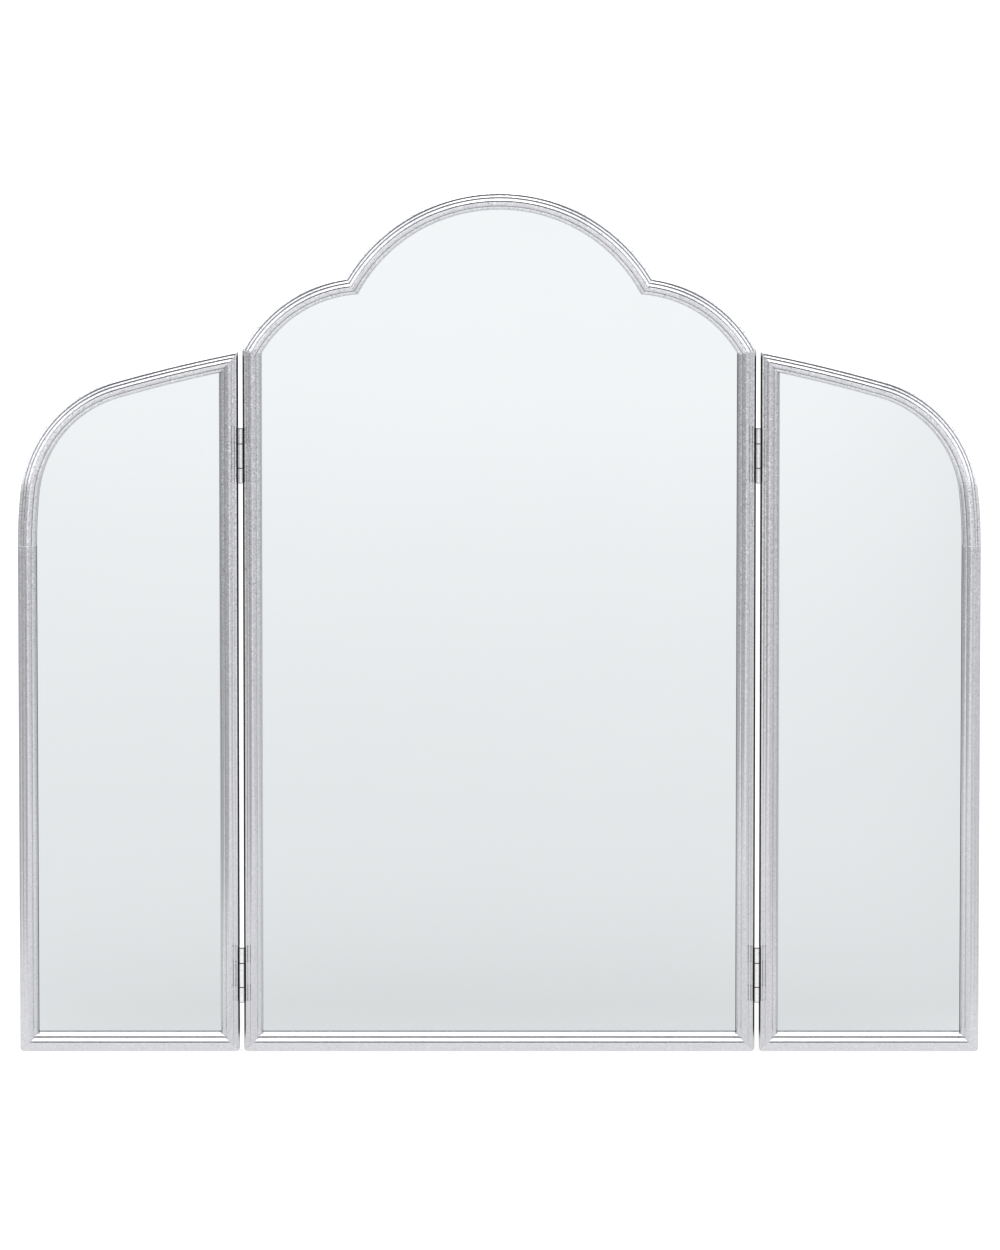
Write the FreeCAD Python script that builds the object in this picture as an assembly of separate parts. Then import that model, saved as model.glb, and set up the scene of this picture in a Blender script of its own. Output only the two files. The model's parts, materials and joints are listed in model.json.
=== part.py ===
import FreeCAD, Part
import math
import os

from FreeCAD import Vector

# Three-panel folding mirror for a dressing table: a centre panel with a crowned top and two
# lower wings, hinged at the front so that each wing folds over the centre glass.
# Millimetres. +X is the viewer's right, the glass faces -Y and +Z is up.
# The origin is on the table, under the middle of the centre panel's bottom rail.

# Outer edge of the centre panel
centre_width = 460.0
stile_height = 643.0  # table to the outer corner on top of a stile
crown_rise = 143.0  # that corner to the top of the crown
crown_radius = 160.0
cusp_drop = 78.0  # top of the crown down to where it meets a shoulder
shoulder_radius = 125.0

# Outer edge of a wing: an easing arc, a shoulder and a nearly flat top, each tangent to the last
wing_width = 198.0
wing_corner_drop = 1.5  # hinge-side corner of a wing, below the centre stile's corner
wing_ease_radius = 467.0
wing_ease_degrees = 6.2
wing_shoulder_radius = 117.0
wing_shoulder_degrees = 67.5
wing_top_radius = 1290.0

# Moulding, across its face from the outer edge: two reeds that step up to a ridge, a long fall to
# a quirk, one more reed and the sight slope. Depths are measured back from the ridge, and a swell is
# how far a surface stands out from a straight slope.
outer_edge_depth = 3.8  # where the outer reed meets the side
outer_reed_width = 2.9
outer_reed_swell = 0.37
first_step_depth = 2.6
second_reed_width = 2.4
second_reed_swell = 0.3
second_step_depth = 1.6
ridge_rise_width = 3.1
ridge_rise_swell = 0.44
ridge_fall_width = 4.2
ridge_fall_swell = 0.72
quirk_depth = 3.0
inner_reed_width = 3.7
inner_reed_swell = 1.0
lip_edge_depth = 6.2  # where the inner reed meets the sight slope
sight_slope_width = 0.9
corner_round = 4.0  # bottom outer corners, rubbed round under the paint: length along each side
corner_rub = 1.36  # how far the middle of that rounding lies in from each side

# Rabbet and what lies in it, from the front to the back
lip_depth = 10.5  # ridge to the glass
glass_thickness = 3.0
board_thickness = 3.0
board_recess = 1.5  # back of the board to the back of the frame
glass_lap = 5.5  # how far the lip covers the rabbet
glass_clearance = 0.5

# Offset clips that hold the boards, and their screws
clip_width = 10.0
clip_thickness = 1.0
clip_toe_length = 8.0
clip_foot_length = 4.0  # from the screw to the free end of the foot
clip_screw_radius = 1.5
clip_screw_length = 9.0
clip_screw_head_radius = 2.7
clip_screw_head_height = 1.6
clip_screw_slot_width = 0.8
clip_screw_slot_depth = 0.7

# V-shaped nails driven into the back across every joint of the moulding
nail_leg_length = 4.0
nail_thickness = 0.6
nail_depth = 7.0

# Butt hinges: the middle knuckle is on the centre leaf, the outer two on the wing leaf
hinge_height = 50.0
middle_knuckle_height = 22.0
knuckle_gap = 0.25
barrel_radius = 2.0  # the barrel fills the gap between the panels
pin_radius = 1.2
pin_end_chamfer = 0.3
leaf_width = 12.5  # pin axis to the leaf's back edge
leaf_thickness = 0.9
leaf_notch_clearance = 0.35  # round the other leaf's knuckles
axis_proud = 0.5  # pin axis in front of the ridges, which leaves room when folded flat
upper_hinge_drop = 96.0  # stile corner to the middle of the upper hinge
lower_hinge_rise = 71.0  # table to the middle of the lower hinge
hinge_screw_radius = 1.2
hinge_screw_head_radius = 2.0
hinge_screw_spacing = 17.0
hinge_screw_tip_cover = 1.5  # wood left between a screw's tip and the rabbet

# Fits
running_clearance = 0.05  # pin in the wing leaf's knuckles
fixed_clearance = 0.01  # pin in the centre leaf's knuckle, screws in their holes

# Worked out from the sizes above
second_step_across = outer_reed_width + second_reed_width
ridge_across = second_step_across + ridge_rise_width
quirk_across = ridge_across + ridge_fall_width
lip_across = quirk_across + inner_reed_width
frame_width = lip_across + sight_slope_width
board_back = lip_depth + glass_thickness + board_thickness
frame_depth = board_back + board_recess
front = -frame_depth / 2
back = frame_depth / 2
rabbet_across = frame_width - glass_lap
panel_gap = 2 * barrel_radius
axis_x = -(centre_width / 2 + barrel_radius)
axis_y = front - axis_proud
upper_hinge_height = stile_height - upper_hinge_drop
hinge_span = upper_hinge_height - lower_hinge_rise
hinge_heights = {"upper": upper_hinge_height, "lower": lower_hinge_rise}
stile_clip_heights = [lower_hinge_rise + hinge_span / 3, lower_hinge_rise + hinge_span * 2 / 3]
mid_plane = Vector(0, 0, 0)
sideways = Vector(1, 0, 0)
backward = Vector(0, 1, 0)
upward = Vector(0, 0, 1)


def direction(angle):
    """Unit vector in the panel's plane, at an angle in degrees from +X towards +Z."""
    return Vector(math.cos(math.radians(angle)), 0, math.sin(math.radians(angle)))


def angle_of(vector):
    """Angle in degrees of a vector in the panel's plane, from +X towards +Z."""
    return math.degrees(math.atan2(vector.z, vector.x))


class Straight:
    """Straight stretch of a panel's outer edge, walked clockwise as seen from the front."""

    def __init__(self, start, end):
        self.start = start
        self.end = end
        self.along = (end - start).normalize()

    def inward(self, point):
        """Unit vector from a point of the edge into the panel."""
        return Vector(self.along.z, 0, -self.along.x)

    def at(self, fraction):
        """Point of the outer edge, by its share of the stretch."""
        return self.start + (self.end - self.start) * fraction

    def curve(self, inset):
        """The whole line, moved into the panel by inset."""
        shift = self.inward(self.start) * inset
        return Part.Line(self.start + shift, self.end + shift)

    def edge(self, first, last):
        """Edge between two points of the stretch, which may be moved inward."""
        return Part.LineSegment(first, last).toShape()

    def moulding(self, before, after):
        """Moulding along the stretch, over-long by before and after."""
        first = self.start - self.along * before
        length = (self.end - self.start).Length + before + after
        return moulding_section(first, self.inward(first)).extrude(self.along * length)


class Bend:
    """Round stretch of a panel's outer edge, walked clockwise, with its centre inside the panel."""

    def __init__(self, centre, radius, start_angle, end_angle):
        self.centre = centre
        self.radius = radius
        self.start_angle = start_angle
        self.end_angle = end_angle
        self.start = self.at(0)
        self.end = self.at(1)

    def inward(self, point):
        return (self.centre - point).normalize()

    def at(self, fraction):
        angle = self.start_angle + (self.end_angle - self.start_angle) * fraction
        return self.centre + direction(angle) * self.radius

    def curve(self, inset):
        return Part.Circle(self.centre, backward, self.radius - inset)

    def edge(self, first, last):
        halfway = (first + last - self.centre * 2).normalize()
        middle = self.centre + halfway * (first - self.centre).Length
        return Part.Arc(first, middle, last).toShape()

    def moulding(self, before, after):
        before_angle = math.degrees(before / self.radius)
        after_angle = math.degrees(after / self.radius)
        first = self.centre + direction(self.start_angle + before_angle) * self.radius
        sweep = self.start_angle - self.end_angle + before_angle + after_angle
        return moulding_section(first, self.inward(first)).revolve(self.centre, backward, sweep)


def moulding_section(corner, inward):
    """Cross-section of the moulding at a point of the outer edge: a ridge between stepped reeds."""

    def at(across, behind):
        return corner + inward * across + backward * (front + behind)

    def swelling(start, end, swell):
        """Arc between two points, standing out to the front in its middle."""
        return Part.Arc(start, (start + end) * 0.5 - backward * swell, end)

    side, lip = at(0, outer_edge_depth), at(lip_across, lip_edge_depth)
    first_step, second_step = at(outer_reed_width, first_step_depth), at(second_step_across, second_step_depth)
    ridge, quirk = at(ridge_across, 0), at(quirk_across, quirk_depth)
    corners = [lip, at(frame_width, lip_depth), at(rabbet_across, lip_depth), at(rabbet_across, frame_depth)]
    corners += [at(0, frame_depth), side]
    curves = [
        swelling(side, first_step, outer_reed_swell),
        swelling(first_step, second_step, second_reed_swell),
        swelling(second_step, ridge, ridge_rise_swell),
        swelling(ridge, quirk, ridge_fall_swell),
        swelling(quirk, lip, inner_reed_swell),
    ]
    curves += [Part.LineSegment(one, other) for one, other in zip(corners, corners[1:])]
    return Part.Face(Part.Wire([curve.toShape() for curve in curves]))


def meet(first, second, inset):
    """Point where two neighbouring stretches meet once both are moved into the panel by inset."""
    corner = first.end
    inward = first.inward(corner)
    if inward.isEqual(second.inward(corner), 1e-6):
        return corner + inward * inset
    crossings = first.curve(inset).intersect(second.curve(inset))
    points = [Vector(crossing.X, 0, crossing.Z) for crossing in crossings]
    return min(points, key=corner.distanceToPoint)


def centre_outline():
    """Members of the centre panel's frame, clockwise from the left stile, each a list of stretches."""
    half = centre_width / 2
    crown_centre = Vector(0, 0, stile_height + crown_rise - crown_radius)
    cusp_height = crown_radius - cusp_drop
    cusp = crown_centre + Vector(-math.sqrt(crown_radius**2 - cusp_height**2), 0, cusp_height)
    corner = Vector(-half, 0, stile_height)

    chord = Straight(corner, cusp)
    half_chord = (cusp - corner).Length / 2
    centre_distance = math.sqrt(shoulder_radius**2 - half_chord**2)
    left_centre = chord.at(0.5) + chord.inward(corner) * centre_distance
    low_angle = angle_of(corner - left_centre)
    high_angle = angle_of(cusp - left_centre)
    right_centre = Vector(-left_centre.x, 0, left_centre.z)
    cusp_angle = angle_of(cusp - crown_centre)

    return {
        "left_stile": [Straight(Vector(-half, 0, 0), corner)],
        "left_shoulder": [Bend(left_centre, shoulder_radius, low_angle, high_angle)],
        "crown": [Bend(crown_centre, crown_radius, cusp_angle, 180 - cusp_angle)],
        "right_shoulder": [Bend(right_centre, shoulder_radius, 180 - high_angle, 180 - low_angle)],
        "right_stile": [Straight(Vector(half, 0, stile_height), Vector(half, 0, 0))],
        "bottom_rail": [Straight(Vector(half, 0, 0), Vector(-half, 0, 0))],
    }


def wing_outline():
    """Members of the left wing's frame, clockwise from the outer stile, each a list of stretches."""
    hinge_x = -(centre_width / 2 + panel_gap)
    outer_x = hinge_x - wing_width
    ease_end = 180 - wing_ease_degrees
    shoulder_end = ease_end - wing_shoulder_degrees

    # The centres are first set out from the top of the outer stile, then lifted to the hinge-side corner.
    ease_centre = Vector(outer_x + wing_ease_radius, 0, 0)
    shoulder_centre = ease_centre + direction(ease_end) * (wing_ease_radius - wing_shoulder_radius)
    top_centre = shoulder_centre + direction(shoulder_end) * (wing_shoulder_radius - wing_top_radius)
    top_end = math.degrees(math.acos((hinge_x - top_centre.x) / wing_top_radius))
    rise = top_centre.z + wing_top_radius * direction(top_end).z
    corner_height = stile_height - wing_corner_drop
    lift = upward * (corner_height - rise)

    curve = [
        Bend(ease_centre + lift, wing_ease_radius, 180, ease_end),
        Bend(shoulder_centre + lift, wing_shoulder_radius, ease_end, shoulder_end),
        Bend(top_centre + lift, wing_top_radius, shoulder_end, top_end),
    ]
    return {
        "outer_stile": [Straight(Vector(outer_x, 0, 0), curve[0].start)],
        "top_rail": curve,
        "hinge_stile": [Straight(curve[-1].end, Vector(hinge_x, 0, 0))],
        "bottom_rail": [Straight(Vector(hinge_x, 0, 0), Vector(outer_x, 0, 0))],
    }


class Joint:
    """Flat saw cut between two members, from the outer edge to the sight edge."""

    def __init__(self, first, second):
        self.outer = first.end
        self.inner = meet(first, second, frame_width)
        self.across = (self.inner - self.outer).normalize()
        self.onward = Vector(-self.across.z, 0, self.across.x)

    def waste(self, toward):
        """Block on one side of the cut, large enough to take off an over-long end."""
        reach = 3 * frame_width
        low = self.outer - self.across * reach
        high = self.inner + self.across * reach
        corners = [low, high, high + toward * reach, low + toward * reach]
        return prism(corners, front, frame_depth)

    def nail(self):
        """V-nail with its point towards the sight edge and a leg in each member."""
        point = self.outer + (self.inner - self.outer) * (rabbet_across / 2 / frame_width)
        left_leg = (self.onward - self.across).normalize()
        right_leg = (-self.onward - self.across).normalize()
        tail = -self.across * (nail_thickness * math.sqrt(2))
        left = point + left_leg * nail_leg_length
        right = point + right_leg * nail_leg_length
        left_inner = left + right_leg * nail_thickness
        right_inner = right + left_leg * nail_thickness
        return prism([point, left, left_inner, point + tail, right_inner, right], back - nail_depth, nail_depth)


def prism(corners, start_y, depth):
    """Solid on a polygon in the panel's plane, from start_y towards the back."""
    wire = Part.makePolygon(corners + corners[:1])
    wire.translate(backward * start_y)
    return Part.Face(wire).extrude(backward * depth)


def frame_joints(members):
    """Joint at the end of each member, by the member's name."""
    names = list(members)
    following = names[1:] + names[:1]
    return {name: Joint(members[name][-1], members[after][0]) for name, after in zip(names, following)}


def frame_member(stretches, start_joint, end_joint):
    """Moulding along the stretches of one member, sawn off at both joints."""
    last = len(stretches) - 1
    over = frame_width
    lengths = [
        stretch.moulding(over if place == 0 else 0, over if place == last else 0)
        for place, stretch in enumerate(stretches)
    ]
    member = lengths[0]
    if last:
        member = member.fuse(lengths[1:]).removeSplitter()
    return member.cut([start_joint.waste(-start_joint.onward), end_joint.waste(end_joint.onward)])


def corner_waste(corner, toward):
    """What is rubbed off a square bottom corner to round it, toward being +1 or -1 along X."""
    along = corner + sideways * toward * corner_round
    above = corner + upward * corner_round
    middle = corner + (sideways * toward + upward) * corner_rub
    rounding = Part.Arc(along, middle, above).toShape()
    face = Part.Face(Part.Wire([rounding] + Part.makePolygon([above, corner, along]).Edges))
    face.translate(backward * front)
    return face.extrude(backward * frame_depth)


def filling(members, start, thickness):
    """Sheet that drops into the rabbet from the back, start being its distance behind the ridges."""
    inset = rabbet_across + glass_clearance
    stretches = [stretch for member in members.values() for stretch in member]
    corners = [meet(one, other, inset) for one, other in zip(stretches, stretches[1:] + stretches[:1])]
    starts = corners[-1:] + corners[:-1]
    edges = [stretch.edge(first, last) for stretch, first, last in zip(stretches, starts, corners)]
    face = Part.Face(Part.Wire(edges))
    face.translate(backward * (front + start))
    return face.extrude(backward * thickness)


def backing_clip(point, inward):
    """Offset clip: its foot is screwed to the frame's back and its toe presses on the board."""
    along = Vector(inward.z, 0, -inward.x)
    riser = rabbet_across + glass_clearance
    foot_end = rabbet_across / 2 - clip_foot_length
    toe_end = riser + clip_toe_length
    outline = [
        (foot_end, frame_depth),
        (riser, frame_depth),
        (riser, board_back),
        (toe_end, board_back),
        (toe_end, board_back + clip_thickness),
        (riser + clip_thickness, board_back + clip_thickness),
        (riser + clip_thickness, frame_depth + clip_thickness),
        (foot_end, frame_depth + clip_thickness),
    ]
    side = point - along * (clip_width / 2)
    corners = [side + inward * across + backward * (front + behind) for across, behind in outline]
    strip = Part.Face(Part.makePolygon(corners + corners[:1])).extrude(along * clip_width)
    return strip.cut(clip_screw_hole(point, inward))


def clip_screw_seat(point, inward):
    """Where a clip screw's head meets the foot of its clip."""
    return point + inward * (rabbet_across / 2) + backward * (back + clip_thickness)


def clip_screw_hole(point, inward):
    seat = clip_screw_seat(point, inward)
    return Part.makeCylinder(clip_screw_radius + fixed_clearance, clip_screw_length, seat, -backward)


def clip_screw(point, inward):
    """Pan-head screw with a crossed slot, through the clip and into the frame's back."""
    seat = clip_screw_seat(point, inward)
    shank = Part.makeCylinder(clip_screw_radius, clip_screw_length, seat, -backward)
    head = Part.makeCylinder(clip_screw_head_radius, clip_screw_head_height, seat, backward)
    rim = [edge for edge in head.Edges if edge.CenterOfMass.y > seat.y + clip_screw_head_height / 2]
    head = head.makeFillet(clip_screw_head_height / 2, [edge for edge in rim if edge.Closed])
    reach = clip_screw_head_radius
    slot_floor = seat.y + clip_screw_head_height - clip_screw_slot_depth
    half = clip_screw_slot_width / 2
    upright = Part.makeBox(2 * half, clip_screw_head_height, reach, Vector(-half, 0, -reach / 2))
    level = Part.makeBox(reach, clip_screw_head_height, 2 * half, Vector(-reach / 2, 0, -half))
    cross = upright.fuse(level)
    cross.translate(Vector(seat.x, slot_floor, seat.z))
    return shank.fuse(head).cut(cross)


def clip_places(members):
    """Point and inward direction of each clip of a panel: two to a stile, and along the other members."""
    places = []
    for name, stretches in members.items():
        for stretch in stretches:
            if name.endswith("stile"):
                points = [Vector(stretch.start.x, 0, height) for height in stile_clip_heights]
            elif name in ("crown", "bottom_rail"):
                points = [stretch.at(0.25), stretch.at(0.75)]
            else:
                points = [stretch.at(0.5)]
            places += [(point, stretch.inward(point)) for point in points]
    return places


def leaf_screw_places():
    """Heights and depth of one leaf's three screws, from the hinge's middle and the pin axis."""
    row = (barrel_radius + leaf_notch_clearance + leaf_width) / 2
    return [(height, axis_y + row) for height in (-hinge_screw_spacing, 0, hinge_screw_spacing)]


def centre_screw_shape(seat, clearance):
    """Countersunk screw from the centre leaf's free face towards +X, or its hole when given a clearance."""
    shank = hinge_screw_radius + clearance
    head = hinge_screw_head_radius + clearance
    sink = hinge_screw_head_radius - hinge_screw_radius
    length = leaf_thickness + rabbet_across - hinge_screw_tip_cover
    outline = [(0, 0), (0, head), (sink, shank), (length - shank, shank), (length, 0)]
    corners = [seat + sideways * along + upward * radius for along, radius in outline]
    return Part.Face(Part.makePolygon(corners + corners[:1])).revolve(seat, sideways, 360)


def centre_screws(height, clearance):
    """The centre leaf's screws of one left hinge, or their holes."""
    seat_x = -centre_width / 2 - leaf_thickness
    return [
        centre_screw_shape(Vector(seat_x, depth, height + offset), clearance)
        for offset, depth in leaf_screw_places()
    ]


def to_wing_side(shape):
    """Mirror image of a left-hand piece in the plane of the left hinges' axis."""
    return shape.mirror(Vector(axis_x, 0, 0), sideways)


def barrel_length(radius, low, high):
    """Round bar on the left hinges' axis."""
    return Part.makeCylinder(radius, high - low, Vector(axis_x, axis_y, low), upward)


def hinge_leaf(height, knuckles, bore_radius):
    """Leaf on the centre stile's edge, with knuckles given as (low, high) from the hinge's middle."""
    wood = -centre_width / 2
    notch = barrel_radius + leaf_notch_clearance
    plate_corner = Vector(wood - leaf_thickness, axis_y + notch, height - hinge_height / 2)
    leaf = Part.makeBox(leaf_thickness, leaf_width - notch, hinge_height, plate_corner)
    for low, high in knuckles:
        tongue_corner = Vector(wood - leaf_thickness, axis_y, height + low)
        tongue = Part.makeBox(leaf_thickness, notch, high - low, tongue_corner)
        leaf = leaf.fuse([tongue, barrel_length(barrel_radius, height + low, height + high)])
    leaf = leaf.removeSplitter()
    bore = barrel_length(bore_radius, height - hinge_height, height + hinge_height)
    return leaf.cut([bore] + centre_screws(height, fixed_clearance))


def hinge_pin(height):
    """Pin as long as the barrel, with broken edges."""
    pin = barrel_length(pin_radius, height - hinge_height / 2, height + hinge_height / 2)
    return pin.makeChamfer(pin_end_chamfer, [edge for edge in pin.Edges if edge.Closed])


def left_hinge(height):
    """Centre leaf, wing leaf and pin of one left hinge."""
    middle = middle_knuckle_height / 2
    end = hinge_height / 2
    centre_leaf = hinge_leaf(height, [(-middle, middle)], pin_radius + fixed_clearance)
    outer_knuckles = [(-end, -middle - knuckle_gap), (middle + knuckle_gap, end)]
    wing_leaf = to_wing_side(hinge_leaf(height, outer_knuckles, pin_radius + running_clearance))
    return {"centre_leaf": centre_leaf, "wing_leaf": wing_leaf, "pin": hinge_pin(height)}


def panel(members, screw_holes):
    """Every piece of one panel but its hinges, by name."""
    joints = frame_joints(members)
    names = list(members)
    places = clip_places(members)
    nails = [joint.nail() for joint in joints.values()]
    rail = members["bottom_rail"][0]
    corners = [corner_waste(rail.start, -1), corner_waste(rail.end, 1)]
    holes = [clip_screw_hole(point, inward) for point, inward in places]
    taken_out = nails + corners + holes + screw_holes

    pieces = {}
    for before, name in zip(names[-1:] + names[:-1], names):
        member = frame_member(members[name], joints[before], joints[name])
        pieces[name] = member.cut(taken_out)
    pieces["mirror_glass"] = filling(members, lip_depth, glass_thickness)
    pieces["backing_board"] = filling(members, lip_depth + glass_thickness, board_thickness)
    pieces["backing_clips"] = Part.makeCompound([backing_clip(point, inward) for point, inward in places])
    pieces["clip_screws"] = Part.makeCompound([clip_screw(point, inward) for point, inward in places])
    pieces["corner_nails"] = Part.makeCompound(nails)
    return pieces


def to_right_side(shape):
    """Mirror image of a left-hand piece on the other side of the object."""
    return shape.mirror(mid_plane, sideways)


def build():
    """Every node's shape, by the node's name."""
    left_screws = [screw for height in hinge_heights.values() for screw in centre_screws(height, 0)]
    left_holes = [hole for height in hinge_heights.values() for hole in centre_screws(height, fixed_clearance)]
    right_screws = [to_right_side(screw) for screw in left_screws]
    right_holes = [to_right_side(hole) for hole in left_holes]
    wing_screws = [to_wing_side(screw) for screw in left_screws]
    wing_holes = [to_wing_side(hole) for hole in left_holes]

    nodes = {}
    for name, shape in panel(centre_outline(), left_holes + right_holes).items():
        nodes["centre_" + name] = shape
    for name, shape in panel(wing_outline(), wing_holes).items():
        nodes["left_wing_" + name] = shape
        nodes["right_wing_" + name] = to_right_side(shape)
    for level, height in hinge_heights.items():
        for name, shape in left_hinge(height).items():
            nodes[f"{level}_left_hinge_{name}"] = shape
            nodes[f"{level}_right_hinge_{name}"] = to_right_side(shape)
    nodes["centre_hinge_screws"] = Part.makeCompound(left_screws + right_screws)
    nodes["left_wing_hinge_screws"] = Part.makeCompound(wing_screws)
    nodes["right_wing_hinge_screws"] = Part.makeCompound([to_right_side(screw) for screw in wing_screws])
    return nodes


os.makedirs("parts", exist_ok=True)
for node, shape in build().items():
    shape.exportStep(f"parts/{node}.step")
    print(node, len(shape.Solids), "solids", round(shape.Volume), "mm3", "valid" if shape.isValid() else "BROKEN")
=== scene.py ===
import json
import math

import bpy
import numpy as np
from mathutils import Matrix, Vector


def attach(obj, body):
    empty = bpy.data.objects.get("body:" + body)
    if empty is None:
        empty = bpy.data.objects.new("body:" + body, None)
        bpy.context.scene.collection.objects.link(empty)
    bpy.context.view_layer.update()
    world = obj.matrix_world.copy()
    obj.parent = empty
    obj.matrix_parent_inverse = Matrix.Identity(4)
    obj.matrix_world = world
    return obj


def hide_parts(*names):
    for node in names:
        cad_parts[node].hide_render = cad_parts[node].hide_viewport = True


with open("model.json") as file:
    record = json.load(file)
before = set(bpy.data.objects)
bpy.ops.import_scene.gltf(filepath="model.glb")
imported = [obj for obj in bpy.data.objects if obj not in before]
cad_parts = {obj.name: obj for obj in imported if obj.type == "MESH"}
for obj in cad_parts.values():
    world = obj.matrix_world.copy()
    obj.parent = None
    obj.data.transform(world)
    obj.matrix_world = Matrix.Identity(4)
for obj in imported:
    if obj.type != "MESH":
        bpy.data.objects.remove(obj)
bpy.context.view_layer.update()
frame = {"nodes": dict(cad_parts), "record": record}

# Sizes of the mirror, in millimetres. Meshes are worked out in millimetres and stored in metres.
MM = 0.001
CENTRE_WIDTH = 460.0
STILE_HEIGHT = 643.0
CROWN_RISE = 143.0
CROWN_RADIUS = 160.0
CUSP_DROP = 78.0
SHOULDER_RADIUS = 125.0
PANEL_GAP = 4.0
WING_WIDTH = 198.0
WING_CORNER_DROP = 1.5
WING_EASE_RADIUS = 467.0
WING_EASE_SWEEP = math.radians(6.2)
WING_SHOULDER_RADIUS = 117.0
WING_SHOULDER_SWEEP = math.radians(67.5)
WING_TOP_RADIUS = 1290.0
CORNER_ROUND = 4.0
HINGE_HEIGHT = 50.0
UPPER_HINGE = 547.0  # middle of an upper hinge above the table
LOWER_HINGE = 71.0
KNUCKLE_JOINT = 11.1  # where knuckles meet, above and below a hinge's middle
BARREL_FRONT = (-7.0, -7.5)  # depths between which a hinge's leaves end and its barrel's front begins
GAP_SHADE_REACH = 0.6  # how far the painted shade spreads from a barrel's knuckle joints and ends

# The moulding's section: points by how far across from the outer edge and behind the ridge they lie,
# and how far each surface between them stands out from a straight slope
SECTION_POINTS = np.array([3.8j, 2.9 + 2.6j, 5.3 + 1.6j, 8.4, 12.6 + 3.0j, 16.3 + 6.2j])
SECTION_SWELLS = np.array([0.37, 0.3, 0.44, 0.72, 1.0])
FRAME_WIDTH = 17.2
FRAME_DEPTH = 18.0
LIP_DEPTH = 10.5
RABBET_ACROSS = 11.7
ARC_POINTS = 80  # points on each of those surfaces, before the whole is spaced evenly

# How the paint lies on the wood, where shade is painted on it, and how far it eases the joints
SECTION_STEP = 0.2  # spacing of points round the moulding's section
PAINT_EASE = 0.12  # spread of the averaging that rounds the section's corners
HOLLOW_SPREAD = 0.6  # spread of the averaging that finds the hollows
LIP_SHADE = 2.4  # how far in front of the glass the lip's foot is painted dark, as painted shade where it meets the glass
WIDE_LIP_SHADE = 4.2  # the same on the stiles where the painted shade at the lip is wider
NARROW_LIP_SHADE = 1.2  # and on the other stiles
SOFT_STEP = 0.3  # share of the painted shade in a step that is left on the stiles, and on a bottom rail outside its quirk
QUIRK_ACROSS = 10.0  # steps further across than this are the quirk's
GRAIN_AND_GLINT_RISE = (250.0, 560.0)  # heights between which the paint's grain and its painted glints grow to full strength, as the sparkle catches more light higher up
LOW_GRAIN_AND_GLINT = 0.3  # share of the grain and painted glints below them
BACK_UNDERCOAT = 0.5  # share of undercoat that shows on the frame's back
BACK_FADE = (0.6, 0.1)  # how far in front of the back it begins to show, and shows in full
RABBET_FADE = (0.3, 0.1)  # how far outside the rabbet's wall undercoat begins, and is full
HINGE_SHADE_FLANK = (2.65, 2.95)  # how far behind the ridge a hinge edge's painted shade comes in
HINGE_SHADE_ACROSS = (1.2, 2.0)  # how far across the hinge edge's painted shade ends
HINGE_SHADE_FOOT = (4.0, 25.0)  # heights between which that painted shade fades out near the table
HINGE_SHADE_HEAD = (642.0, 634.0)  # and at its top
BESIDE_HINGE_SHADE_ACROSS = (1.4, 2.1)  # how far across the painted shade reaches beside a hinge
MITRE_EASE = 0.22  # how far a member's end is drawn in at a mitre
BUTT_EASE = 0.03  # and at a joint that runs straight on
ROW_STEP = 5.0  # spacing of sections along a round member
END_ROWS = np.array([0.0, 0.25, 0.7, 1.2, 1.8, 2.5, 4.0])  # sections near a joint, from its cut

# The photograph's view: its scale, where it looks and from how high
FRAME_PIXELS = 1250  # the picture's long side
MM_PER_PIXEL = 0.898
VIEW_ELEVATION = math.radians(11.2)
VIEW_TARGET = Vector((0.0006, 0.0, 0.3906))
VIEW_DISTANCE = 16.0
SENSOR = 36.0


class Straight:
    """Straight stretch of an outer edge, walked clockwise from the front, as points x + iz."""

    def __init__(self, start, end):
        self.start = start
        self.end = end
        self.length = abs(end - start)
        self.along = (end - start) / self.length

    def inward(self, point):
        return -1j * self.along

    def inset(self, distance):
        """The unbounded line moved inward, as a point and a direction."""
        return self.start + self.inward(self.start) * distance, self.along

    def cut(self, corner, onward, across):
        """Length along the stretch at which the line inset by across meets a cut's plane."""
        lead = self.start + self.inward(self.start) * across
        return dot(corner - lead, onward) / dot(self.along, onward)

    def bounds(self):
        return 0.0, self.length

    def per_mm(self, across):
        return np.ones_like(across)

    def place(self, length, across):
        return self.start + self.inward(self.start) * across + self.along * length

    def rows(self):
        return 3


class Bend:
    """Round stretch of an outer edge, walked clockwise, with its centre inside the panel."""

    def __init__(self, centre, radius, start_angle, end_angle):
        self.centre = centre
        self.radius = radius
        self.start_angle = start_angle
        self.end_angle = end_angle
        self.start = centre + radius * np.exp(1j * start_angle)
        self.end = centre + radius * np.exp(1j * end_angle)

    def inward(self, point):
        return (self.centre - point) / abs(self.centre - point)

    def inset(self, distance):
        """The whole circle moved inward, as a centre and a radius."""
        return self.centre, self.radius - distance

    def cut(self, corner, onward, across):
        """Angle at which the circle inset by across meets a cut's plane, near the cut's corner."""
        reach = dot(corner - self.centre, onward) / (self.radius - across)
        turn = np.arccos(np.clip(reach, -1, 1))
        facing = np.angle(onward)
        near = np.angle(corner - self.centre)
        one = near + wrap(facing + turn - near)
        other = near + wrap(facing - turn - near)
        return np.where(abs(one - near) < abs(other - near), one, other)

    def bounds(self):
        return self.start_angle, self.end_angle

    def per_mm(self, across):
        return -1 / (self.radius - across)

    def place(self, angle, across):
        return self.centre + (self.radius - across) * np.exp(1j * angle)

    def rows(self):
        return max(3, int(self.radius * abs(self.start_angle - self.end_angle) / ROW_STEP))


def dot(one, other):
    """Scalar product of plane vectors held as complex numbers."""
    return (one * np.conj(other)).real


def wrap(angle):
    """The same angle within half a turn of zero."""
    return (angle + np.pi) % (2 * np.pi) - np.pi


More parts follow.
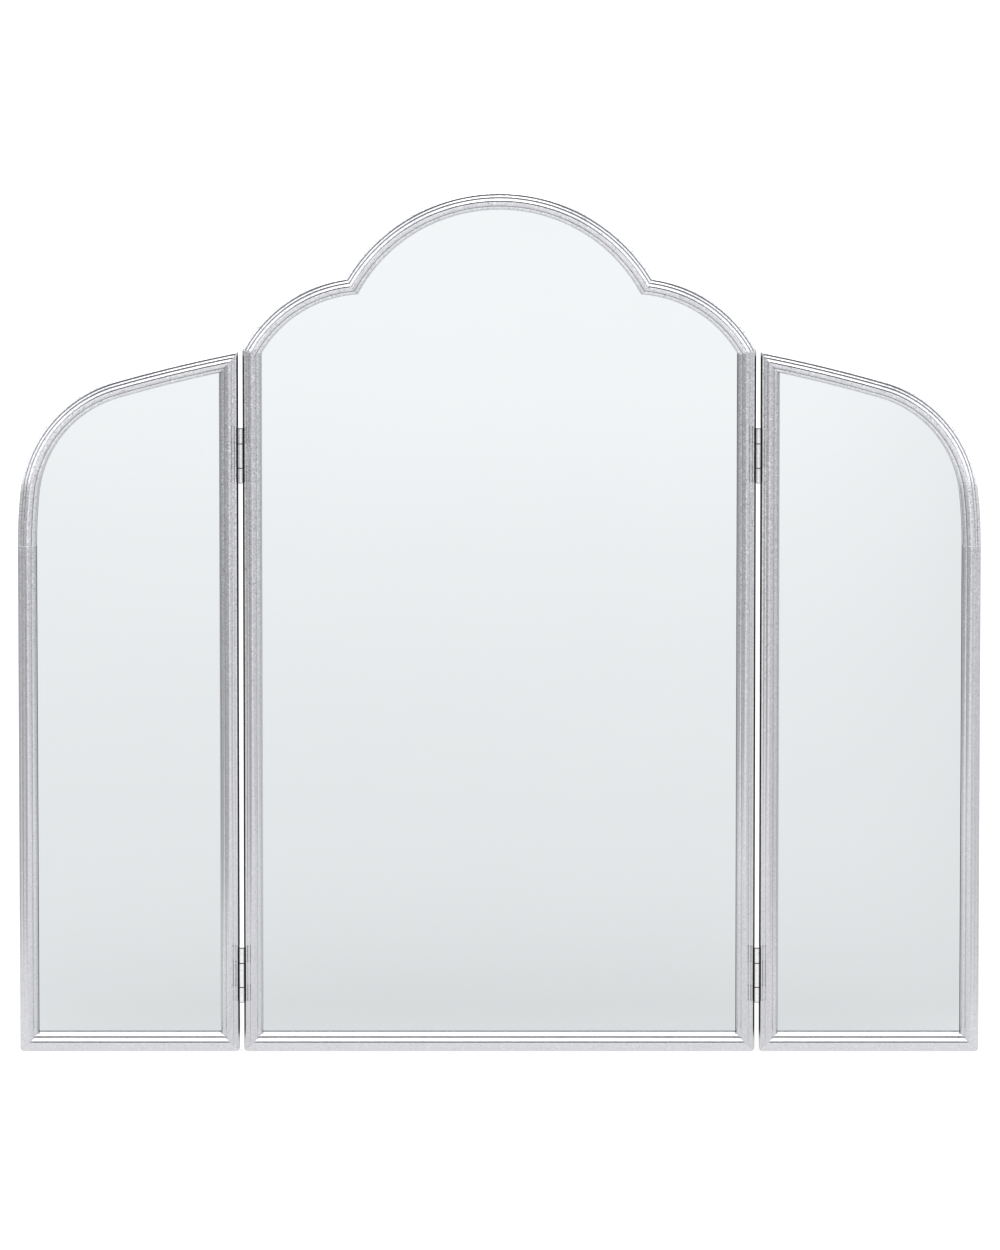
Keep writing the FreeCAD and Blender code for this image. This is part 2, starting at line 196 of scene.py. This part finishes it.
def crossings(first, second, inset):
    """Points where two neighbouring stretches cross once both are moved inward by inset."""
    one, two = first.inset(inset), second.inset(inset)
    if isinstance(first, Bend) and isinstance(second, Bend):
        apart = two[0] - one[0]
        reach = (one[1] ** 2 - two[1] ** 2 + abs(apart) ** 2) / (2 * abs(apart))
        height = math.sqrt(one[1] ** 2 - reach**2)
        return [one[0] + apart / abs(apart) * (reach + side * 1j * height) for side in (1, -1)]
    if isinstance(first, Bend):
        one, two = two, one
    if isinstance(first, Bend) or isinstance(second, Bend):
        middle = dot(two[0] - one[0], one[1])
        distance = abs(dot(two[0] - one[0], 1j * one[1]))
        half = math.sqrt(two[1] ** 2 - distance**2)
        return [one[0] + one[1] * (middle + side * half) for side in (1, -1)]
    onward = 1j * two[1]
    return [one[0] + one[1] * dot(two[0] - one[0], onward) / dot(one[1], onward)]


class Joint:
    """Flat saw cut between two members, from the outer corner to where the sight edges meet."""

    def __init__(self, first, second):
        self.corner = first.end
        inward = first.inward(self.corner)
        inner = self.corner + inward * FRAME_WIDTH
        self.ease = BUTT_EASE
        if abs(inward - second.inward(self.corner)) > 1e-6:
            self.ease = MITRE_EASE
            inner = min(crossings(first, second, FRAME_WIDTH), key=lambda point: abs(point - self.corner))
        self.onward = 1j * (inner - self.corner) / abs(inner - self.corner)


def centre_outline():
    """Members of the centre frame, clockwise from the left stile, each a list of stretches."""
    half = CENTRE_WIDTH / 2
    crown_centre = 1j * (STILE_HEIGHT + CROWN_RISE - CROWN_RADIUS)
    cusp_height = CROWN_RADIUS - CUSP_DROP
    cusp = crown_centre - math.sqrt(CROWN_RADIUS**2 - cusp_height**2) + 1j * cusp_height
    corner = -half + 1j * STILE_HEIGHT
    chord = Straight(corner, cusp)
    centre_distance = math.sqrt(SHOULDER_RADIUS**2 - chord.length**2 / 4)
    left = (corner + cusp) / 2 + chord.inward(corner) * centre_distance
    low, high = np.angle(corner - left), np.angle(cusp - left)
    right = -np.conj(left)
    cusp_angle = np.angle(cusp - crown_centre)
    return {
        "left_stile": [Straight(-half, corner)],
        "left_shoulder": [Bend(left, SHOULDER_RADIUS, low, high)],
        "crown": [Bend(crown_centre, CROWN_RADIUS, cusp_angle, np.pi - cusp_angle)],
        "right_shoulder": [Bend(right, SHOULDER_RADIUS, np.pi - high, np.pi - low)],
        "right_stile": [Straight(half + 1j * STILE_HEIGHT, half + 0j)],
        "bottom_rail": [Straight(half + 0j, -half + 0j)],
    }


def wing_outline():
    """Members of the left wing's frame: the top is three tangent arcs, lifted to the hinge-side corner."""
    hinge_x = -(CENTRE_WIDTH / 2 + PANEL_GAP)
    outer_x = hinge_x - WING_WIDTH
    ease_end = np.pi - WING_EASE_SWEEP
    shoulder_end = ease_end - WING_SHOULDER_SWEEP
    ease = outer_x + WING_EASE_RADIUS + 0j
    shoulder = ease + np.exp(1j * ease_end) * (WING_EASE_RADIUS - WING_SHOULDER_RADIUS)
    top = shoulder + np.exp(1j * shoulder_end) * (WING_SHOULDER_RADIUS - WING_TOP_RADIUS)
    top_end = math.acos((hinge_x - top.real) / WING_TOP_RADIUS)
    rise = top.imag + WING_TOP_RADIUS * math.sin(top_end)
    lift = 1j * (STILE_HEIGHT - WING_CORNER_DROP - rise)
    curve = [
        Bend(ease + lift, WING_EASE_RADIUS, np.pi, ease_end),
        Bend(shoulder + lift, WING_SHOULDER_RADIUS, ease_end, shoulder_end),
        Bend(top + lift, WING_TOP_RADIUS, shoulder_end, top_end),
    ]
    return {
        "outer_stile": [Straight(outer_x + 0j, curve[0].start)],
        "top_rail": curve,
        "hinge_stile": [Straight(curve[-1].end, hinge_x + 0j)],
        "bottom_rail": [Straight(hinge_x + 0j, outer_x + 0j)],
    }


def swelling(start, end, swell):
    """Points of the circular arc from start to end that stands out to the front by swell in its middle.

    Its direction turns evenly from half the arc's turn before the chord's direction to as much after it.
    """
    chord = end - start
    bend = 2 * np.arctan(2 * swell * chord.real / abs(chord) ** 2)
    run = np.cumsum(np.exp(1j * np.linspace(-bend, bend, ARC_POINTS)))
    return start + chord * np.concatenate([[0], run]) / run[-1]


def averaged(loop, spread):
    """A closed loop of even points, each averaged with its neighbours by a bell curve of that spread."""
    waves = np.fft.fftfreq(len(loop), SECTION_STEP)
    return np.fft.ifft(np.fft.fft(loop) * np.exp(-2 * (np.pi * spread * waves) ** 2))


def moulding_section():
    """Painted section as across + i behind: points, unit normals out of the wood, and hollowness.

    Two reeds step up to a ridge, which falls to a quirk, a third reed and the sight slope over a
    rabbeted back. The loop is spaced evenly, then averaged along itself, which rounds its corners and
    fills its steps as paint does. Hollowness is how far a wider averaging moves a point outwards:
    above zero in hollow corners, below it on ridges.
    """
    pairs = zip(SECTION_POINTS, SECTION_POINTS[1:], SECTION_SWELLS)
    arcs = [swelling(start, end, swell) for start, end, swell in pairs]
    corners = [
        FRAME_WIDTH + 1j * LIP_DEPTH,
        RABBET_ACROSS + 1j * LIP_DEPTH,
        RABBET_ACROSS + 1j * FRAME_DEPTH,
        1j * FRAME_DEPTH,
        SECTION_POINTS[0],
    ]
    outline = np.concatenate(arcs + [corners])
    travelled = np.concatenate([[0], np.cumsum(abs(np.diff(outline)))])
    places = np.linspace(0, travelled[-1], int(travelled[-1] / SECTION_STEP), endpoint=False)
    loop = np.interp(places, travelled, outline.real) + 1j * np.interp(places, travelled, outline.imag)
    eased = averaged(loop, PAINT_EASE)
    ahead = np.roll(eased, -1) - np.roll(eased, 1)
    normal = -1j * ahead / abs(ahead)
    hollow = dot(averaged(loop, HOLLOW_SPREAD) - eased, normal)
    return eased, normal, hollow


SECTION, SECTION_NORMAL, SECTION_HOLLOW = moulding_section()


def rising(value, low, high):
    """0 below low, 1 above high, smooth between them."""
    share = np.clip((value - low) / (high - low), 0, 1)
    return share * share * (3 - 2 * share)


def undercoat_and_lip_shade(lip_foot):
    """How much of the dark undercoat and painted shade shows at each section point of a member.

    Undercoat shows through thin paint on the back and takes over in the rabbet; the dark at the foot of
    the lip, where it meets the glass, is painted shade.
    """
    across, behind = SECTION.real, SECTION.imag
    thin_back = BACK_UNDERCOAT * rising(behind, *(FRAME_DEPTH - ahead for ahead in BACK_FADE))
    in_rabbet = rising(across, *(RABBET_ACROSS - outside for outside in RABBET_FADE))
    # the lip's foot near the glass: painted shade, on top of the undercoat in the rabbet
    inside = in_rabbet * rising(behind, LIP_DEPTH - lip_foot, LIP_DEPTH - lip_foot / 2)
    return np.maximum(thin_back, inside)


def painted_hinge_edge_shade():
    """Painted shade on an edge that carries hinges, from the flank of its outer bead, where the gap
    between panels lies in shade.
    """
    return (1 - rising(SECTION.real, *HINGE_SHADE_ACROSS)) * rising(SECTION.imag, *HINGE_SHADE_FLANK)


def hinge_edge_rubbed():
    """Painted shade on the outermost strip of such an edge, beside its hinges, where the barrels shade it.
    """
    return 1 - rising(SECTION.real, *BESIDE_HINGE_SHADE_ACROSS)


def paint_layers(member):
    """Values over the section for a member's paint: its hollows, its undercoat with the painted shade at
    the lip's foot, and a hinge edge's painted shade.

    The painted shade in the steps is weaker on the stiles, and on a bottom rail outside its quirk. On the
    stiles the paint is darkened all over too, as painted shade.
    """
    layers = {"hollow": SECTION_HOLLOW}
    lip_foot = LIP_SHADE
    if member == "bottom_rail":
        layers["hollow"] = SECTION_HOLLOW * np.where(SECTION.real > QUIRK_ACROSS, 1, SOFT_STEP)
    if member.endswith("stile"):
        layers["hollow"] = SECTION_HOLLOW * SOFT_STEP
        # painted shade that darkens the stiles' paint all over
        layers["dull"] = np.ones_like(SECTION_HOLLOW)
        # wider painted shade at the lip's foot on these stiles
        lip_foot = WIDE_LIP_SHADE if member in ("right_stile", "outer_stile") else NARROW_LIP_SHADE
    layers["undercoat_and_lip_shade"] = undercoat_and_lip_shade(lip_foot)
    if member in ("left_stile", "right_stile", "hinge_stile"):
        layers["hinge_edge_shade"] = painted_hinge_edge_shade()
        layers["rubbed"] = hinge_edge_rubbed()
    return layers


def stretch_points(stretch, start_joint, end_joint):
    """Moulding points along one stretch, rows by section: each section point slides from cut to cut.

    A row lies at (1 - f) first + f last + offset along the stretch, where first and last are the two
    cuts' places for each section point, f goes from 0 to 1 and offset sets the close rows at a joint.
    """
    middle = np.linspace(0, 1, stretch.rows())
    lead = END_ROWS[-1] if start_joint else 0
    trail = END_ROWS[-1] if end_joint else 0
    share = [middle]
    offset = [lead * (1 - middle) - trail * middle]
    drawn_in = [np.zeros_like(middle)]
    near = END_ROWS[:-1]
    if start_joint:
        share.insert(0, np.zeros_like(near))
        offset.insert(0, near)
        drawn_in.insert(0, np.where(near == 0, start_joint.ease, 0))
    if end_joint:
        share.append(np.ones_like(near))
        offset.append(-near[::-1])
        drawn_in.append(np.where(near[::-1] == 0, end_joint.ease, 0))
    share, offset, drawn_in = (np.concatenate(part)[:, None] for part in (share, offset, drawn_in))

    section = SECTION[None, :] - drawn_in * SECTION_NORMAL[None, :]
    across = section.real
    first, last = stretch.bounds()
    if start_joint:
        first = stretch.cut(start_joint.corner, start_joint.onward, across)
    if end_joint:
        last = stretch.cut(end_joint.corner, end_joint.onward, across)
    along = (1 - share) * first + share * last + offset * stretch.per_mm(across)
    flat = stretch.place(along, across)
    return np.stack([flat.real, section.imag - FRAME_DEPTH / 2, flat.imag], axis=-1)


def rounded_corner(points, corner_x, toward):
    """Points of a square bottom corner drawn radially onto a round one of CORNER_ROUND.

    The corner stands at corner_x, and toward is 1 or -1, the way from it into the panel.
    """
    middle_x = corner_x + toward * CORNER_ROUND
    aside = (points[..., 0] - middle_x) * -toward
    below = CORNER_ROUND - points[..., 2]
    distance = np.hypot(aside, below)
    outside = (aside > 0) & (below > 0) & (distance > CORNER_ROUND)
    shrink = np.where(outside, CORNER_ROUND / np.maximum(distance, 1e-9), 1)
    moved = points.copy()
    moved[..., 0] = middle_x - toward * aside * shrink
    moved[..., 2] = CORNER_ROUND - below * shrink
    return np.where(outside[..., None], moved, points)


def swept_mesh(name, rows, layers, mirrored):
    """Closed tube over a grid of rows by section points, with flat caps on its two ends.

    Each of the layers, values over the section, becomes an attribute of the mesh's points.
    """
    if mirrored:
        rows = rows * np.array([-1, 1, 1])
    count, around = rows.shape[:2]
    index = np.arange(count * around).reshape(count, around)
    beside = np.roll(index, -1, axis=1)
    sides = np.stack([index[:-1], beside[:-1], beside[1:], index[1:]], axis=-1).reshape(-1, 4)
    faces = sides.tolist() + [index[0, ::-1].tolist(), index[-1].tolist()]
    if mirrored:
        faces = [face[::-1] for face in faces]
    mesh = bpy.data.meshes.new(name)
    mesh.from_pydata((rows.reshape(-1, 3) * MM).tolist(), [], faces)
    smooth = np.ones(len(faces), bool)
    smooth[-2:] = False
    mesh.polygons.foreach_set("use_smooth", smooth)
    for attribute, values in layers.items():
        layer = mesh.attributes.new(attribute, "FLOAT", "POINT")
        layer.data.foreach_set("value", np.tile(values, count))
    piece = bpy.data.objects.new(name, mesh)
    bpy.context.scene.collection.objects.link(piece)
    return piece


def frame_members(outline):
    """Grid of moulding points for each member of a panel's frame, by the member's name."""
    names = list(outline)
    following = names[1:] + names[:1]
    joints = {name: Joint(outline[name][-1], outline[after][0]) for name, after in zip(names, following)}
    rail = outline["bottom_rail"][0]
    grids = {}
    for before, name in zip(names[-1:] + names[:-1], names):
        stretches = outline[name]
        last = len(stretches) - 1
        parts = [
            stretch_points(
                stretch,
                joints[before] if place == 0 else None,
                joints[name] if place == last else None,
            )
            for place, stretch in enumerate(stretches)
        ]
        rows = np.concatenate([parts[0]] + [part[1:] for part in parts[1:]])
        rows = rounded_corner(rows, rail.start.real, -1)
        grids[name] = rounded_corner(rows, rail.end.real, 1)
    return grids


class Wire:
    """An output of a shader node. Arithmetic on it adds Math nodes to its tree."""

    def __init__(self, nodes, socket):
        self.nodes = nodes
        self.socket = socket

    def reckon(self, operation, one, other):
        return self.nodes.node("ShaderNodeMath", {"operation": operation}, {0: one, 1: other})

    def __add__(self, other):
        return self.reckon("ADD", self, other)

    __radd__ = __add__

    def __sub__(self, other):
        return self.reckon("SUBTRACT", self, other)

    def __rsub__(self, other):
        return self.reckon("SUBTRACT", other, self)

    def __mul__(self, other):
        return self.reckon("MULTIPLY", self, other)

    __rmul__ = __mul__

    def __abs__(self):
        return self.reckon("ABSOLUTE", self, 0)

    def clipped(self, low, high):
        """This value between two bounds."""
        return self.reckon("MINIMUM", self.reckon("MAXIMUM", self, low), high)

    def ramp(self, low, high):
        """0 at low, 1 at high, smooth between them."""
        bounds = {"Value": self, "From Min": low, "From Max": high}
        return self.nodes.node("ShaderNodeMapRange", {"interpolation_type": "SMOOTHSTEP"}, bounds)


class Nodes:
    """A node tree under construction."""

    def __init__(self, tree):
        self.tree = tree

    def node(self, kind, settings, inputs, output=0):
        """Adds a node: its settings first, then the values or wires of its sockets. Gives one output."""
        made = self.tree.nodes.new(kind)
        for name, value in settings.items():
            setattr(made, name, value)
        for socket, value in inputs.items():
            self.feed(made.inputs[socket], value)
        return Wire(self, made.outputs[output])

    def feed(self, socket, value):
        if isinstance(value, Wire):
            self.tree.links.new(value.socket, socket)
        else:
            socket.default_value = value


class Finish(Nodes):
    """A material under construction, with one Principled shader."""

    def __init__(self, name, constants):
        self.material = bpy.data.materials.new(name)
        self.material.use_nodes = True
        super().__init__(self.material.node_tree)
        self.shader = self.tree.nodes["Principled BSDF"]
        for socket, value in constants.items():
            self.shader.inputs[socket].default_value = value

    def set(self, socket, value):
        self.feed(self.shader.inputs[socket], value)

    def attribute(self, name):
        """A value stored on the mesh's points."""
        return self.node("ShaderNodeAttribute", {"attribute_name": name}, {}, "Fac")

    def place(self):
        """Object coordinates, in metres."""
        return self.node("ShaderNodeTexCoord", {}, {}, "Object")

    def along(self, axis):
        """Object coordinate along one axis, in metres."""
        return self.node("ShaderNodeSeparateXYZ", {}, {"Vector": self.place()}, axis)

    def from_hinge(self):
        """Height from the middle of the nearest hinge: folding about half way brings two onto one."""
        from_halfway = abs(self.along("Z") - (UPPER_HINGE + LOWER_HINGE) / 2 * MM)
        return abs(from_halfway - (UPPER_HINGE - LOWER_HINGE) / 2 * MM)

    def stretched(self, scale):
        """Object coordinates times a scale for each axis."""
        return self.node("ShaderNodeMapping", {}, {"Vector": self.place(), "Scale": scale})

    def noise(self, scale, detail=2.0, vector=None):
        """Cloudy noise about one half, scale being its grains per metre."""
        inputs = {"Vector": vector or self.place(), "Scale": scale, "Detail": detail}
        return self.node("ShaderNodeTexNoise", {}, inputs)

    def cells(self, scale):
        """A random grey for each cell of a fine grid of points, scale being cells per metre."""
        inputs = {"Vector": self.place(), "Scale": scale}
        colour = self.node("ShaderNodeTexVoronoi", {}, inputs, "Color")
        return self.node("ShaderNodeSeparateColor", {}, {"Color": colour}, "Red")

    def blend(self, share, low, high):
        """Colour from low to high by share, each a wire or red, green and blue."""
        low, high = (end if isinstance(end, Wire) else (*end, 1) for end in (low, high))
        colour_a, colour_b, colour_result = 6, 7, 2  # the node's sockets for colours
        inputs = {"Factor": share, colour_a: low, colour_b: high}
        return self.node("ShaderNodeMix", {"data_type": "RGBA"}, inputs, colour_result)

    def bump(self, height, distance):
        """Relief, in which a height of 1 stands for that distance in metres."""
        inputs = {"Height": height, "Distance": distance, "Strength": 1.0}
        self.set("Normal", self.node("ShaderNodeBump", {}, inputs))


def silver_paint():
    """Silver paint: fine flakes with painted glints, painted shade in the steps, and undercoat where it is
    thin.

    The grain and the painted glints are strongest on the upper half. A hinge edge's flank carries painted
    shade that fades out at its foot and at its head, and painted shade shows on its outermost strip beside
    the two hinges.
    """
    deep_silver, pale_silver = (0.42, 0.42, 0.438), (0.81, 0.81, 0.835)
    undercoat_and_shade_colour = (0.016, 0.016, 0.018)
    finish = Finish("silver_paint", {"Metallic": 0.92, "Coat Roughness": 0.08})
    height = finish.along("Z")
    grain_and_glint = LOW_GRAIN_AND_GLINT + (1 - LOW_GRAIN_AND_GLINT) * height.ramp(GRAIN_AND_GLINT_RISE[0] * MM, GRAIN_AND_GLINT_RISE[1] * MM)
    beside_hinge = finish.from_hinge().ramp(HINGE_HEIGHT / 2 * MM, (HINGE_HEIGHT / 2 - 1) * MM)
    above_foot = height.ramp(HINGE_SHADE_FOOT[0] * MM, HINGE_SHADE_FOOT[1] * MM)
    below_head = height.ramp(HINGE_SHADE_HEAD[0] * MM, HINGE_SHADE_HEAD[1] * MM)
    # painted shade on a hinge edge's flank, and on its outer strip beside the hinges
    hinge_edge_shade = finish.attribute("hinge_edge_shade") * (above_foot * below_head)
    rubbed = finish.attribute("rubbed") * beside_hinge
    shown = finish.attribute("undercoat_and_lip_shade") + hinge_edge_shade + rubbed
    # step: dark lines in the moulding's hollow corners, painted shade
    step = finish.attribute("hollow").ramp(0.03, 0.1)
    cloud = finish.noise(55.0, 3.0)
    ripple = finish.noise(420.0, 2.0)
    flake = finish.cells(2400.0)
    speck = finish.cells(850.0)
    # glint: bright and dark specks painted into the colour, painted glints of the flakes
    glint = speck.ramp(0.85, 0.95) - speck.ramp(0.15, 0.05)
    # undercoat where the paint is thin, together with the painted shade
    thin_paint_and_shade = (shown + (cloud - 0.5) * 0.6 * shown).ramp(0.1, 0.9)
    dark = (thin_paint_and_shade + step * (0.55 + cloud * 0.5)).clipped(0, 1)
    sparkle = ((flake - 0.5) * 0.4 + glint * 0.45) * grain_and_glint
    # the stiles' paint is darkened all over, as painted shade
    light = 0.6 + (cloud - 0.5) * 0.1 + sparkle - finish.attribute("dull") * 0.22
    silver = finish.blend(light.clipped(0, 1), deep_silver, pale_silver)
    finish.set("Base Color", finish.blend(dark, silver, undercoat_and_shade_colour))
    finish.set("Coat Weight", 0.25 - dark * 0.25)
    finish.set("Roughness", 0.13 + (cloud - 0.5) * 0.08 + dark * 0.35)
    finish.bump((ripple * 0.5 + flake * 0.15) * grain_and_glint, 0.00006)
    return finish.material


def silvered_glass():
    """Polished mirror glass: near-white reflection with the faintest haze."""
    finish = Finish("silvered_glass", {"Metallic": 1.0, "Coat Weight": 1.0, "Coat Roughness": 0.0})
    haze = finish.noise(9.0, 4.0)
    finish.set("Base Color", finish.blend(haze, (0.645, 0.665, 0.672), (0.656, 0.676, 0.682)))
    finish.set("Roughness", 0.008 + haze.ramp(0.45, 0.75) * 0.006)
    return finish.material


def hardboard():
    """Pressed brown fibreboard: short pale and dark fibres over cloudy brown."""
    dark_brown, pale_brown = (0.15, 0.085, 0.045), (0.36, 0.235, 0.14)
    finish = Finish("hardboard", {"Metallic": 0.0, "Specular IOR Level": 0.3})
    fibres = finish.noise(1.0, 4.0, finish.stretched((900.0, 900.0, 260.0)))
    cloud = finish.noise(14.0, 4.0)
    share = (fibres - 0.5) * 1.3 + (cloud - 0.5) * 0.8 + 0.5
    finish.set("Base Color", finish.blend(share.clipped(0, 1), dark_brown, pale_brown))
    finish.set("Roughness", 0.62 + (fibres - 0.5) * 0.3)
    finish.bump(fibres, 0.0001)
    return finish.material


def plated_steel(name, dark, bright, roughness, shaded_heights=()):
    """Plated steel: fine scuffs and a cloudy change of gloss.

    Hinge barrels have dark rings of painted shade in the gaps between knuckles and at the barrels'
    ends, at the shaded heights above and below their middle.
    """
    gap_shade = (0.03, 0.03, 0.033)
    finish = Finish(name, {"Metallic": 1.0})
    cloud = finish.noise(350.0, 3.0)
    scuff = finish.noise(1.0, 3.0, finish.stretched((900.0, 900.0, 5000.0)))
    colour = finish.blend((cloud * 0.7 + scuff * 0.3).ramp(0.25, 0.75), dark, bright)
    for height in shaded_heights:
        # painted shade: a dark ring in a knuckle gap or at a barrel's end
        ring = abs(finish.from_hinge() - height * MM).ramp(GAP_SHADE_REACH * MM, GAP_SHADE_REACH / 2 * MM)
        barrel = finish.along("Y").ramp(BARREL_FRONT[0] * MM, BARREL_FRONT[1] * MM)
        colour = finish.blend(ring * barrel, colour, gap_shade)
    finish.set("Base Color", colour)
    finish.set("Roughness", roughness + (scuff - 0.5) * 0.2)
    finish.bump(scuff, 0.00002)
    return finish.material


def grey(value):
    """That value for red, green and blue."""
    return (value, value, value)


def pale_floor():
    """Matt white studio floor that glows, as painted light.

    It glows evenly behind the mirror, a little more along its foot, where the glow paints out the mirror's
    shadow, and less in front at both sides, least at the left, where its colour is darker too, as painted
    shade.
    """
    glow_left, glow_right = grey(0.25), grey(0.42)
    glow_middle, glow_foot = grey(0.7), grey(0.75)
    finish = Finish("pale_floor", {"Roughness": 0.9, "Specular IOR Level": 0.1, "Emission Strength": 1.0})
    rightward = finish.along("X")
    backward = finish.along("Y")
    # strip along the mirror's foot that glows more, painted light in place of its shadow
    foot = abs(backward).ramp(0.2, 0.04)
    off_middle = rightward + 0.1
    middle = ((off_middle * off_middle).ramp(0.9, 0.12) + backward.ramp(0.0, 0.6)).clipped(0, 1)
    side = rightward.ramp(-1.0, 1.0)
    cloud = finish.noise(0.7, 2.0)
    white = finish.blend(cloud, (0.195, 0.195, 0.196), (0.205, 0.205, 0.206))
    # darker floor colour to the left side, painted shade
    white_shaded_aside = finish.blend(side, grey(0.14), white)
    finish.set("Base Color", finish.blend(middle, white_shaded_aside, white))
    glow_aside = finish.blend(side, glow_left, glow_right)
    glow = finish.blend(middle, glow_aside, glow_middle)
    finish.set("Emission Color", finish.blend(foot, glow, glow_foot))
    return finish.material


def painted_frames(material):
    """Replaces every frame member by its painted moulding."""
    panels = [
        ("centre", "centre_", centre_outline(), False),
        ("left_wing", "left_wing_", wing_outline(), False),
        ("right_wing", "right_wing_", wing_outline(), True),
    ]
    for body, prefix, outline, mirrored in panels:
        for name, rows in frame_members(outline).items():
            piece = swept_mesh("painted_" + prefix + name, rows, paint_layers(name), mirrored)
            piece.data.materials.append(material)
            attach(piece, body)
            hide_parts(prefix + name)


def dress_cad_nodes(finishes):
    """Gives each CAD node that stays the finish of its material slot."""
    slots = {part["node"]: part["material_slot"] for part in frame["record"]["subparts"]}
    for name, node in frame["nodes"].items():
        node.data.materials.clear()
        node.data.materials.append(finishes[slots[name]])


def studio_floor():
    """Large floor at table height, ending some way in front of the mirror."""
    reach, edge = 30.0, -5.0
    corners = [(-reach, edge, 0), (reach, edge, 0), (reach, reach, 0), (-reach, reach, 0)]
    mesh = bpy.data.meshes.new("floor")
    mesh.from_pydata(corners, [], [(0, 1, 2, 3)])
    mesh.materials.append(pale_floor())
    floor = bpy.data.objects.new("floor", mesh)
    bpy.context.scene.collection.objects.link(floor)


def softbox(name, place, aim, size, radiance, reflected=True):
    """Square soft light that shines from place towards aim. The camera doesn't see it."""
    data = bpy.data.lights.new(name, "AREA")
    data.shape = "SQUARE"
    data.size = size
    data.energy = radiance * math.pi * size**2
    light = bpy.data.objects.new(name, data)
    light.location = place
    light.rotation_euler = (Vector(aim) - Vector(place)).to_track_quat("-Z", "Y").to_euler()
    light.visible_camera = False
    light.visible_glossy = reflected
    bpy.context.scene.collection.objects.link(light)


def studio_surround():
    """Studio walls: bright overhead, behind and at both sides, and dark low in front."""
    ceiling, back_wall, side_walls, low_front = 1.62, 1.72, 1.52, 0.06
    world = bpy.data.worlds.new("studio")
    world.use_nodes = True
    nodes = Nodes(world.node_tree)
    way = nodes.node("ShaderNodeTexCoord", {}, {}, "Generated")
    rightward = nodes.node("ShaderNodeSeparateXYZ", {}, {"Vector": way}, "X")
    backward = nodes.node("ShaderNodeSeparateXYZ", {}, {"Vector": way}, "Y")
    upward = nodes.node("ShaderNodeSeparateXYZ", {}, {"Vector": way}, "Z")
    above = upward.ramp(0.42, 0.68)
    behind = backward.ramp(-0.2, 0.6)
    aside = (rightward * rightward).ramp(0.03, 0.16)
    walls = low_front + behind * back_wall + (1 - behind) * aside * side_walls
    background = world.node_tree.nodes["Background"]
    background.inputs["Color"].default_value = (0.975, 0.985, 1.0, 1)
    nodes.feed(background.inputs["Strength"], above * ceiling + (1 - above) * walls)
    bpy.context.scene.world = world


def studio_light():
    """One soft light high in front that the paint reflects, and two that only brighten the floor."""
    softbox("front_high", place=(0, -2.9, 4.1), aim=(0, 0, 0.3), size=3.2, radiance=1.7)
    softbox(
        "front_floor", place=(0, -4.2, 2.6), aim=(0, -4.2, 0), size=2.6, radiance=5.9, reflected=False
    )
    softbox("back_floor", place=(0, 3.0, 3.0), aim=(0, 3.0, 0), size=4.0, radiance=2.8, reflected=False)


def camera():
    """Long lens at the photograph's height and scale, aimed at the middle of its frame."""
    data = bpy.data.cameras.new("camera")
    data.sensor_width = SENSOR
    data.lens = SENSOR * VIEW_DISTANCE / (FRAME_PIXELS * MM_PER_PIXEL * MM)
    data.clip_end = 100
    view = bpy.data.objects.new("camera", data)
    away = Vector((0, -math.cos(VIEW_ELEVATION), math.sin(VIEW_ELEVATION)))
    view.location = VIEW_TARGET + away * VIEW_DISTANCE
    view.rotation_euler = (-away).to_track_quat("-Z", "Y").to_euler()
    bpy.context.scene.collection.objects.link(view)
    bpy.context.scene.camera = view


finishes = {
    "silver_paint": silver_paint(),
    "silvered_glass": silvered_glass(),
    "hardboard": hardboard(),
    "zinc_steel": plated_steel(
        "zinc_steel", dark=(0.42, 0.43, 0.42), bright=(0.68, 0.69, 0.68), roughness=0.42
    ),
    "hinge_steel": plated_steel(
        "hinge_steel",
        dark=grey(0.72),
        bright=grey(0.9),
        roughness=0.2,
        shaded_heights=(KNUCKLE_JOINT, HINGE_HEIGHT / 2),
    ),
}
dress_cad_nodes(finishes)
painted_frames(finishes["silver_paint"])
studio_floor()
studio_surround()
studio_light()
camera()
bpy.context.scene.view_settings.view_transform = "Standard"
